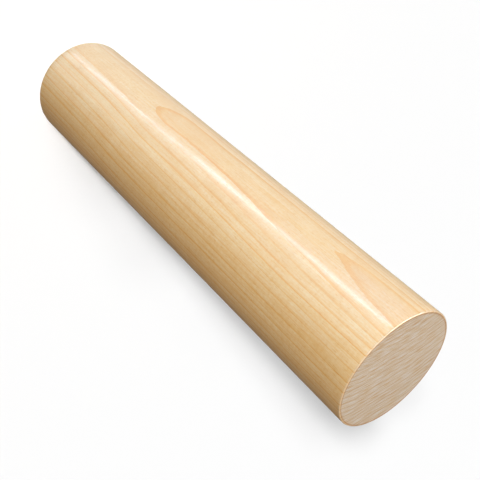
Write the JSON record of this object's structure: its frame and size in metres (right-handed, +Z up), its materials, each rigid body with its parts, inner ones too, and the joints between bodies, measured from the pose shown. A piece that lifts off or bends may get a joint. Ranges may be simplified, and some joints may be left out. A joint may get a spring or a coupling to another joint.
{
  "type": "wood turning blank",
  "caption": "Round solid wood blank with square sawn ends and lightly eased edges, for turning on a lathe.",
  "frame": {"origin": "centre of the bottom sawn end, on the blank's axis", "axes": "+Z up the blank's axis and along the grain, from the bottom sawn end to the top one; the growth rings are curved about a line off the blank, towards -X -Y"},
  "size_m": [0.05, 0.05, 0.225],
  "materials": {
    "wood": "smooth turned side with a light gloss, bare sawn ends"
  },
  "bodies": {
    "root": {"turning_blank": "wood"}
  },
  "joints": []
}
